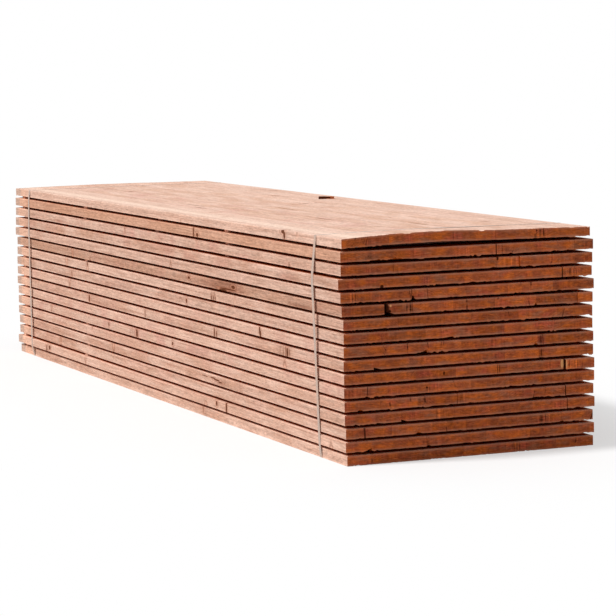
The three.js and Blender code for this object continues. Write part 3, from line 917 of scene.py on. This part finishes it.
def add_stickers(course_mesh, course, top, sticker_top):
    """Lays the stickers on a course, each a little off its place in the solid."""
    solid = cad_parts[f"board_layer_{course:02d}"].data
    corners = [v.co for v in solid.vertices if v.co.z > sticker_top - level_with]
    sides = apart((c.x for c in corners), lath_slack)
    for place, (left, right) in enumerate(zip(sides[::2], sides[1::2])):
        ends = [c.y for c in corners if left - lath_slack < c.x < right + lath_slack]
        shift = chance.uniform(*lath_stray)
        inside = chance.uniform(*set_back)
        if place == 0:
            shift = chance.uniform(*first_stray)
            inside = chance.uniform(*first_set_back)
        elif course in flush_stickers.get(place, ()):
            inside = chance.uniform(*flush_set_back)
        low = (left + shift, min(ends) + inside, top)
        high = (right + shift, max(ends) - chance.uniform(*rear_set_back), sticker_top)
        lath = box_between(low, high)
        wear_arrises(lath, lath_arris, segments=1)
        log = (chance.uniform(0, log_length), 0, chance.uniform(-1, 1))
        tones = (chance.random(), chance.random(), chance.random())
        add_to(course_mesh, lath, vertex_values(log, tones, {}))


# ------------------------------------------------------------------ loose flake
# A flake of wood and bark, torn off the back board of the top when the pack was handled. It
# lies loose on that board.

flake_low, flake_high = (-0.034, -0.010, 0), (0.034, 0.012, 0.012)
bark_until = 0.008              # the flake is bark up to here along it, and torn wood beyond
flake_rough = 0.004             # it is torn by up to this much, and so often in a metre
flake_pace = 55
flake_seed = 1
flake_place = (-0.187, 0.398)
flake_turn = math.radians(67.5)


def add_flake(course_mesh, top, values):
    """Makes the flake and lays it on the top course."""
    flake = box_between(flake_low, flake_high)
    bmesh.ops.subdivide_edges(flake, edges=flake.edges[:], cuts=3, use_grid_fill=True)
    noise.seed_set(flake_seed)      # noise_vector would start from the clock otherwise
    for vertex in flake.verts:
        torn = noise.noise_vector(vertex.co * flake_pace)
        sunk = -abs(torn.z) if vertex.co.z > level_with else 0      # its underside stays flat
        vertex.co += Vector((torn.x * flake_rough, torn.y * flake_rough, sunk * flake_rough))
    for face in flake.faces:
        # The torn wood takes the end-grain finish, whose dark orange is partly painted shade.
        face.material_index = BARK_AND_SHADE if face.calc_center_median().x < bark_until else END
    laid = Matrix.Translation((*flake_place, top)) @ Matrix.Rotation(flake_turn, 4, "Z")
    bmesh.ops.transform(flake, matrix=laid, verts=flake.verts)
    add_to(course_mesh, flake, values)


# ------------------------------------------------------------------ courses
# The boards lie edge to edge in 17 courses, and each course lies on the stickers of the one
# below. A course is one piece with its stickers, and the top one with the flake.

def finished_object(name, shape, finishes):
    """An object with a finished shape, which stands where the shape lies."""
    mesh = bpy.data.meshes.new(name)
    shape.to_mesh(mesh)
    shape.free()
    for finish in finishes:
        mesh.materials.append(finish)
    made = bpy.data.objects.new(name, mesh)
    bpy.context.scene.collection.objects.link(made)
    return made


for course in range(1, top_course + 1):
    course_mesh = bmesh.new()
    for name in ("log", "board", "share", *mark_names, *(name + "_size" for name in mark_names)):
        course_mesh.verts.layers.float_vector.new(name)
    boards, top, sticker_top = boards_of(course)
    settle(boards)
    for board in boards:
        values = board_values(board)
        add_board(course_mesh, board, values)
    if course < top_course:
        add_stickers(course_mesh, course, top, sticker_top)
    else:
        add_flake(course_mesh, top, values)     # with the values of the back board

    piece = finished_object(f"course_{course:02d}", course_mesh, board_finishes)
    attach(piece, "root")
    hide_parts(f"board_layer_{course:02d}")


# ------------------------------------------------------------------ straps and seals
# Two bands of galvanised steel, 19 mm wide, pulled tight round the pack near its ends. Their
# ends lap inside a steel sleeve on the back, which is crimped shut over both plies.

same_point = 1e-6               # the solids' triangles meet within this
flat_within = math.radians(0.5)


def strap_finish():
    """Dull zinc with a faint spangle, scuffed along the strap and dusted by the wood."""
    zinc, dark_zinc, bright_scuff = paint(204, 180, 166), paint(176, 156, 144), paint(214, 192, 178)
    wood_dust = paint(204, 166, 142)
    material, shader, begin = start_finish("galvanised_strap")
    place = begin.node("ShaderNodeTexCoord", output="Object")
    spangle = place.noise(130)
    scuffs = place.noise((420, 14, 14))
    dust = place.noise(9).fade(0.45, 0.65)
    colour = spangle.mix(zinc, dark_zinc)
    colour = (scuffs.fade(0.55, 0.75) * 0.5).mix(colour, bright_scuff)
    colour = (dust * 0.6).mix(colour, wood_dust)
    height = scuffs + spangle * 0.4
    coat(shader, colour, spangle * 0.2 + 0.45, height, strength=0.3, depth=0.0004)
    wire(0.45 - dust * 0.3, shader, "Metallic")
    return material


steel = strap_finish()
for name in ("strap_left", "strap_right", "strap_seal_left", "strap_seal_right"):
    formed = bmesh.new()
    formed.from_mesh(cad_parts[name].data)
    bmesh.ops.remove_doubles(formed, verts=formed.verts, dist=same_point)
    bmesh.ops.dissolve_limit(
        formed, angle_limit=flat_within, verts=formed.verts, edges=formed.edges
    )
    piece = finished_object("steel_" + name, formed, [steel])
    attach(piece, "root")
    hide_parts(name)


# ------------------------------------------------------------------ floor, light and camera
# A plain white floor that keeps the pack's soft shadow and fades into a white surround. One
# broad sun-like lamp shines from high in front, a little to the left, and even light comes from
# all round. The camera looks from beyond the right-hand end, at eye height.

floor_radius = 60
shadow_reach = (2.6, 1.1, 1.0)          # the floor whitens from about this far off, by axis
white = (1, 1, 1, 1)
floor_seen = (0.9, 0.9, 0.9, 1)         # the floor as it looks,
floor_light = (0.62, 0.62, 0.62, 1)     # and as it lights the pack from below
even_light = 0.42


def what_shows(begin):
    """1 for the rays that show the surround, and 0 for those that light the pack."""
    direct = begin.node("ShaderNodeLightPath", output="Is Camera Ray")
    in_gloss = direct.output("Is Glossy Ray")
    return direct.math("MAXIMUM", in_gloss).math("MAXIMUM", direct.output("Is Transmission Ray"))


floor_paper = bpy.data.materials.new("floor_paper")
floor_paper.use_nodes = True
tree = floor_paper.node_tree
tree.nodes.clear()
begin = Value(tree)
place = begin.node("ShaderNodeTexCoord", output="Object")
whitened = (place / shadow_reach).math("LENGTH").fade(0.9, 1.6) * 0.5 + 0.5
lit = begin.node("ShaderNodeBsdfDiffuse", {}, {"Color": floor_light})
shown = begin.node("ShaderNodeBsdfDiffuse", {}, {"Color": floor_seen})
glow = begin.node("ShaderNodeEmission", {}, {"Color": white, "Strength": 1.0})
ground = begin.node("ShaderNodeMixShader", {}, {0: whitened, 1: shown, 2: glow})
whole = begin.node("ShaderNodeMixShader", {}, {0: what_shows(begin), 1: lit, 2: ground})
wire(whole, tree.nodes.new("ShaderNodeOutputMaterial"), "Surface")

disc = bmesh.new()
bmesh.ops.create_circle(disc, cap_ends=True, segments=96, radius=floor_radius)
floor = finished_object("floor", disc, [floor_paper])

world = bpy.data.worlds.new("surround")
bpy.context.scene.world = world
world.use_nodes = True
tree = world.node_tree
tree.nodes.clear()
begin = Value(tree)
strength = what_shows(begin) * (1 - even_light) + even_light
surround = begin.node("ShaderNodeBackground", {}, {"Color": white, "Strength": strength})
wire(surround, tree.nodes.new("ShaderNodeOutputWorld"), "Surface")

lamp_energy = 2.78
lamp_breadth = math.radians(9)
lamp_direction = Vector((0.10, 0.60, -0.79))
lamp = bpy.data.lights.new("broad_lamp", "SUN")
lamp.energy = lamp_energy
lamp.angle = lamp_breadth
lamp_object = bpy.data.objects.new("broad_lamp", lamp)
lamp_object.rotation_mode = "QUATERNION"
lamp_object.rotation_quaternion = lamp_direction.to_track_quat("-Z", "Y")
bpy.context.scene.collection.objects.link(lamp_object)

camera_place = (10.781387, -4.249869, 1.551487)
heading, dip, lean = 2.748733, 0.101663, 0.019966       # in radians
focal_in_pixels = 2613.345
image_width = 616
camera = bpy.data.cameras.new("camera")
camera.sensor_width = 36
camera.lens = focal_in_pixels * camera.sensor_width / image_width
camera.clip_end = 200
camera_object = bpy.data.objects.new("camera", camera)
camera_object.matrix_world = (
    Matrix.Translation(camera_place)
    @ Matrix.Rotation(heading - math.pi / 2, 4, "Z")
    @ Matrix.Rotation(math.pi / 2 - dip, 4, "X")
    @ Matrix.Rotation(-lean, 4, "Z")
)
bpy.context.scene.collection.objects.link(camera_object)
bpy.context.scene.camera = camera_object
bpy.context.scene.view_settings.view_transform = "Standard"
